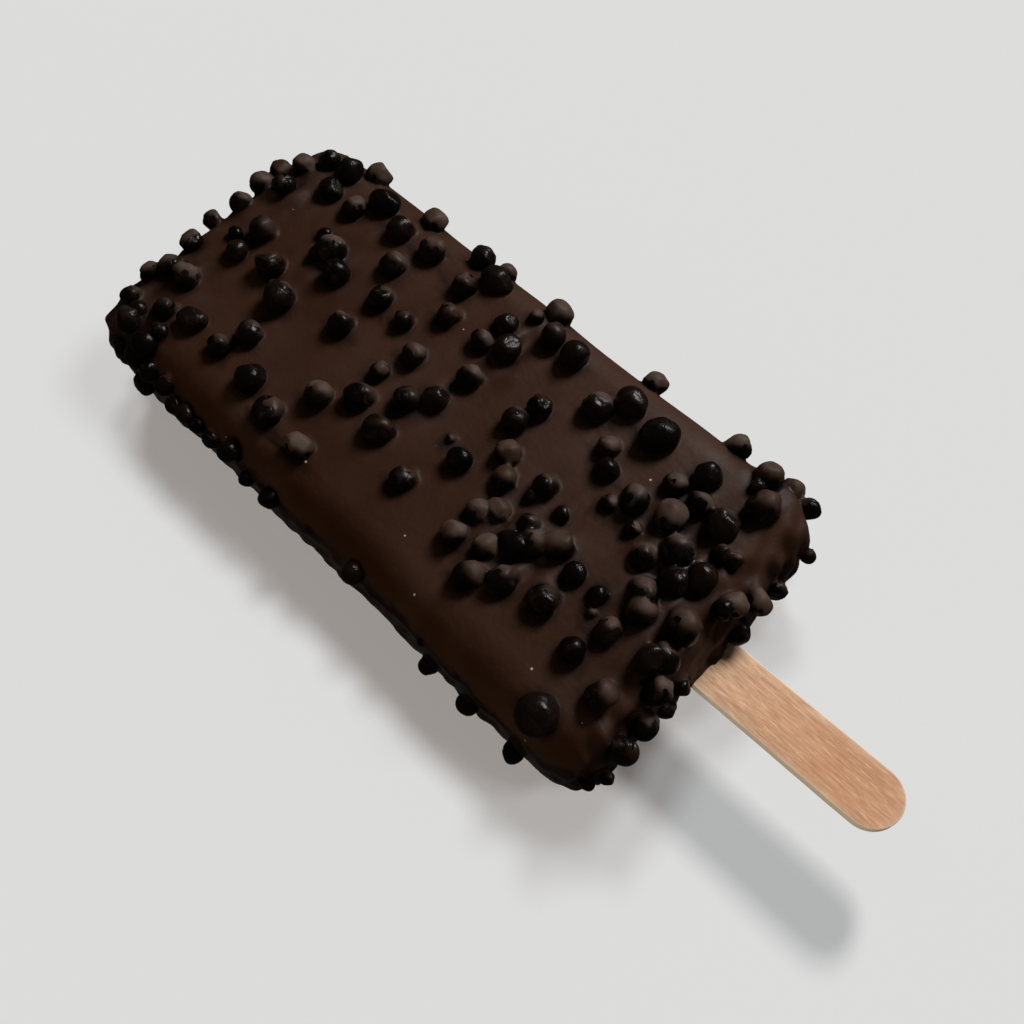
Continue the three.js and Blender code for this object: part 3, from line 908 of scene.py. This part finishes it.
def chocolate():
    mat, nt, bsdf = nodes_of("dark_chocolate_coating")
    co = nt.nodes.new("ShaderNodeTexCoord").outputs["Object"]
    ball = attribute(nt, "on_ball")
    broad = noise(nt, co, 55.0, 2.0, 0.5, 0.4)
    patch = noise(nt, co, 160.0, 3.0, 0.6, 0.3)
    fine = noise(nt, co, 900.0, 3.0, 0.6)
    coat_colour = ramp(nt, broad, [(0.30, (0.0350, 0.0140, 0.0066)), (0.50, (0.0430, 0.0180, 0.0096)), (0.68, (0.0520, 0.0255, 0.0175))])
    # paler and darker patches: partly uneven colour, partly painted sheen and painted shade
    tone_sheen_shade = attribute(nt, "tone_sheen_shade")
    coat_colour = mixc(nt, span(nt, tone_sheen_shade, 0.0, 1.0, 0.0, 0.75), coat_colour, (0.0600, 0.0350, 0.0280))
    coat_colour = mixc(nt, span(nt, tone_sheen_shade, -1.0, 0.0, 0.75, 0.0), coat_colour, (0.0240, 0.0085, 0.0040))
    coat_colour = mixc(nt, span(nt, patch, 0.42, 0.70, 0.0, 0.6), coat_colour, (0.0370, 0.0150, 0.0085))
    # darker among the crowded balls: painted shade between them
    dark = ramp(nt, patch, [(0.35, (0.0130, 0.0055, 0.0048)), (0.62, (0.0430, 0.0200, 0.0175))])
    coat_colour = mixc(nt, maths(nt, "MULTIPLY", attribute(nt, "crowd"), 0.70), coat_colour, dark)
    # the film on the balls painted paler than the coat: partly the film's own colour, partly a painted highlight on the
    # lit caps
    lit_film_colour = ramp(nt, patch, [(0.35, (0.0400, 0.0200, 0.0140)), (0.64, (0.0880, 0.0600, 0.0480))])
    coat_colour = mixc(nt, maths(nt, "MULTIPLY", attribute(nt, "end"), 0.6), coat_colour, ramp(nt, patch, [(0.38, (0.0160, 0.0080, 0.0060)), (0.62, (0.0400, 0.0210, 0.0150))]))
    colour = mixc(nt, ball, coat_colour, lit_film_colour)
    # near-black where the film thins away from the light: partly the bare dark ball, partly painted shade
    colour = mixc(nt, maths(nt, "MULTIPLY", attribute(nt, "thin"), 0.94), colour, (0.0030, 0.0016, 0.0012))
    # painted shadow at the foot of each ball
    colour = mixc(nt, span(nt, attribute(nt, "painted_ball_shadow"), 0.10, 0.90, 0.0, 0.92), colour, (0.0050, 0.0020, 0.0016))
    # the long side's lower part and its far corner painted near-black: painted shade, with a glossier finish
    painted_side_shade = attribute(nt, "painted_side_shade")
    colour = mixc(nt, painted_side_shade, colour, ramp(nt, patch, [(0.40, (0.0075, 0.0034, 0.0025)), (0.70, (0.0260, 0.0125, 0.0090))]))
    # sparse pale specks
    cells = nt.nodes.new("ShaderNodeTexVoronoi")
    cells.inputs["Scale"].default_value = 400.0
    nt.links.new(co, cells.inputs["Vector"])
    near = span(nt, cells.outputs["Distance"], 0.05, 0.09, 1.0, 0.0)
    rare = nt.nodes.new("ShaderNodeSeparateColor")
    nt.links.new(cells.outputs["Color"], rare.inputs["Color"])
    rare = span(nt, rare.outputs["Red"], 0.90, 0.91)
    speck = maths(nt, "MULTIPLY", maths(nt, "MULTIPLY", near, rare), 0.8, clamp=True)
    colour = mixc(nt, speck, colour, (0.70, 0.58, 0.50))
    nt.links.new(colour, bsdf.inputs["Base Color"])
    rough = ramp(nt, patch, [(0.3, (0.48,) * 3), (0.7, (0.64,) * 3)])
    rough = mixc(nt, attribute(nt, "thin"), rough, (0.26, 0.26, 0.26))
    rough = mixc(nt, painted_side_shade, rough, (0.30, 0.30, 0.30))
    nt.links.new(rough, bsdf.inputs["Roughness"])
    bsdf.inputs["Specular IOR Level"].default_value = 0.11
    n1 = bump(nt, patch, 0.40, 0.0006)
    n2 = bump(nt, fine, 0.30, 0.00012, n1)
    nt.links.new(n2, bsdf.inputs["Normal"])
    return mat


def crisp():
    mat, nt, bsdf = nodes_of("black_cocoa_crisp")
    co = nt.nodes.new("ShaderNodeTexCoord").outputs["Object"]
    tint = attribute(nt, "tint")
    patch = noise(nt, co, 420.0, 3.0, 0.6, 0.4)
    fine = noise(nt, co, 1500.0, 3.0, 0.6)
    colour = ramp(nt, tint, [(0.0, (0.0020, 0.0012, 0.0010)), (0.7, (0.0035, 0.0021, 0.0016)), (1.0, (0.0080, 0.0044, 0.0032))])
    colour = mixc(nt, span(nt, patch, 0.58, 0.72, 0.0, 0.6), colour, (0.0260, 0.0150, 0.0110))
    nt.links.new(colour, bsdf.inputs["Base Color"])
    nt.links.new(ramp(nt, patch, [(0.35, (0.20,) * 3), (0.65, (0.36,) * 3)]), bsdf.inputs["Roughness"])
    bsdf.inputs["Specular IOR Level"].default_value = 0.12
    n1 = bump(nt, patch, 0.70, 0.0004)
    n2 = bump(nt, fine, 0.40, 0.0001, n1)
    nt.links.new(n2, bsdf.inputs["Normal"])
    return mat


def birch():
    mat, nt, bsdf = nodes_of("plain_birch")
    co = nt.nodes.new("ShaderNodeTexCoord").outputs["Object"]
    mp = nt.nodes.new("ShaderNodeMapping")
    mp.inputs["Rotation"].default_value = (0, 0, -STICK_YAW)
    mp.inputs["Scale"].default_value = (0.11, 1.0, 1.0)
    nt.links.new(co, mp.inputs["Vector"])
    fibre = noise(nt, mp.outputs["Vector"], 3400.0, 4.0, 0.65, 0.2)
    band = noise(nt, mp.outputs["Vector"], 520.0, 3.0, 0.6, 0.5)
    slow = noise(nt, co, 60.0, 2.0, 0.5)
    sep = nt.nodes.new("ShaderNodeSeparateXYZ")
    nt.links.new(co, sep.inputs["Vector"])
    along = span(nt, sep.outputs["X"], (BAR_L / 2 + X0) * MM, (BAR_L / 2 + X0 + 0.6 * STICK_OUT) * MM)
    base = mixc(nt, along, (0.700, 0.470, 0.305), (0.600, 0.300, 0.145))
    base = mixc(nt, span(nt, slow, 0.35, 0.65, 0.0, 0.5), base, (0.66, 0.39, 0.24))
    base = mixc(nt, span(nt, band, 0.45, 0.70, 0.0, 0.55), base, (0.47, 0.26, 0.14))
    base = mixc(nt, span(nt, fibre, 0.47, 0.62, 0.0, 0.62), base, (0.40, 0.205, 0.115))
    base = mixc(nt, span(nt, fibre, 0.36, 0.44, 0.45, 0.0), base, (0.82, 0.60, 0.44))
    base = mixc(nt, attribute(nt, "arris"), base, (0.86, 0.72, 0.58))
    nt.links.new(base, bsdf.inputs["Base Color"])
    bsdf.inputs["Roughness"].default_value = 0.62
    bsdf.inputs["Specular IOR Level"].default_value = 0.3
    nt.links.new(bump(nt, fibre, 0.35, 0.00008), bsdf.inputs["Normal"])
    return mat


coat.data.materials.clear()
coat.data.materials.append(chocolate())
crisps.data.materials.clear()
crisps.data.materials.append(crisp())
stick.data.materials.append(birch())

for piece, node, slot in ((coat, "coated_bar", "chocolate_coating"), (crisps, "coated_bar", "chocolate_coating"), (stick, "stick", "birch_wood")):
    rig.ride(piece, "root")
    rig.replaces(piece, node)
    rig.slot(piece, slot)

# ---------------------------------------------------------------------------
# Floor, light, camera
# ---------------------------------------------------------------------------
floor_me = bpy.data.meshes.new("floor")
floor_me.from_pydata([(-3, -3, 0), (3, -3, 0), (3, 3, 0), (-3, 3, 0)], [], [(0, 1, 2, 3)])
floor = bpy.data.objects.new("floor", floor_me)
bpy.context.scene.collection.objects.link(floor)
fmat, fnt, fb = nodes_of("pale_floor")
fb.inputs["Base Color"].default_value = (0.80, 0.80, 0.795, 1)
fb.inputs["Roughness"].default_value = 0.9
fb.inputs["Specular IOR Level"].default_value = 0.1
fb.inputs["Emission Color"].default_value = (1.0, 0.32, 0.0, 1)
fb.inputs["Emission Strength"].default_value = 0.03
floor_me.materials.append(fmat)
floor.visible_diffuse = False
floor.visible_glossy = False
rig.stage(floor)

scene = bpy.context.scene
scene.view_settings.view_transform = "Standard"
scene.view_settings.look = "None"

world = bpy.data.worlds.new("studio")
scene.world = world
world.use_nodes = True
bg = world.node_tree.nodes["Background"]
bg.inputs["Color"].default_value = (1.0, 0.97, 0.94, 1)
bg.inputs["Strength"].default_value = 0.035

bar_at = Vector((X0 * MM, Y0 * MM, Z0 * MM))


def area(name, direction, distance, size, power, colour=(1, 1, 1)):
    d = Vector(direction).normalized()
    light = bpy.data.lights.new(name, "AREA")
    light.shape = "DISK"
    light.size = size
    light.energy = power
    light.color = colour
    ob = bpy.data.objects.new(name, light)
    ob.location = bar_at + d * distance
    ob.rotation_euler = (-d).to_track_quat("-Z", "Y").to_euler()
    scene.collection.objects.link(ob)
    return ob


def from_sky(azimuth, elevation):
    """A direction: azimuth from +X towards +Y, in degrees."""
    a, e = math.radians(azimuth), math.radians(elevation)
    return (math.cos(e) * math.cos(a), math.cos(e) * math.sin(a), math.sin(e))


sweet = bpy.data.collections.new("sweet_only")
ground = bpy.data.collections.new("floor_only")
scene.collection.children.link(sweet)
scene.collection.children.link(ground)
bar_alone = bpy.data.collections.new("bar_alone")
stick_alone = bpy.data.collections.new("stick_alone")
for c in (bar_alone, stick_alone):
    scene.collection.children.link(c)
bar_alone.objects.link(coat)
bar_alone.objects.link(crisps)
stick_alone.objects.link(stick)
sweet.objects.link(coat)
sweet.objects.link(crisps)
ground.objects.link(floor)

def sun(name, direction, strength, angle, colour=(1, 1, 1)):
    d = Vector(direction).normalized()
    light = bpy.data.lights.new(name, "SUN")
    light.energy = strength
    light.angle = math.radians(angle)
    light.color = colour
    ob = bpy.data.objects.new(name, light)
    ob.location = bar_at + d
    ob.rotation_euler = (-d).to_track_quat("-Z", "Y").to_euler()
    scene.collection.objects.link(ob)
    return ob


key = area("key", from_sky(84, 38), 0.60, 0.23, 3.7, (1.0, 0.98, 0.96))
key.light_linking.receiver_collection = sweet
fill = area("fill", from_sky(-80, 30), 0.70, 0.50, 1.1, (1.0, 0.86, 0.60))
fill.light_linking.receiver_collection = sweet
fill.visible_glossy = False
wood_key = area("wood_key", from_sky(84, 52), 0.60, 0.30, 3.95, (1.0, 0.955, 0.92))
wood_key.light_linking.receiver_collection = stick_alone
wood_fill = area("wood_fill", from_sky(-85, 6), 0.70, 0.30, 2.3, (1.0, 0.90, 0.78))
wood_fill.light_linking.receiver_collection = stick_alone
# on the floor only: three high suns that the bar stands in, a low one behind the stick
for name, az, el, strength, angle, colour, blocks in (
        ("high_far", 33, 50.0, 0.591, 14.0, (0.937, 1.0, 1.039), bar_alone),
        ("high_mid", 95, 64.5, 0.610, 12.0, (0.937, 1.0, 1.039), bar_alone),
        ("high_near", 131, 58.6, 0.720, 12.0, (0.937, 1.0, 1.039), bar_alone),
        ("low_front", 114.5, 41.4, 1.59, 9.5, (1.015, 1.0, 0.978), stick_alone)):
    light = sun(name, from_sky(az, el), strength, angle, colour)
    light.light_linking.receiver_collection = ground
    light.light_linking.blocker_collection = blocks

cam = bpy.data.cameras.new("camera")
cam.sensor_width = 36.0
cam.lens = LENS
cam.clip_start = 0.01
cam.clip_end = 20
cam_ob = bpy.data.objects.new("camera", cam)
m = Matrix(TURN).to_4x4()
m.translation = Vector(((EYE[0] + X0) * MM, (EYE[1] + Y0) * MM, (EYE[2] + Z0) * MM))
cam_ob.matrix_world = m
scene.collection.objects.link(cam_ob)
scene.camera = cam_ob

with open("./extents.json", "w") as f:
    json.dump({"cad": cad_bounds, "visual": as_lists(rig.bounds())}, f)
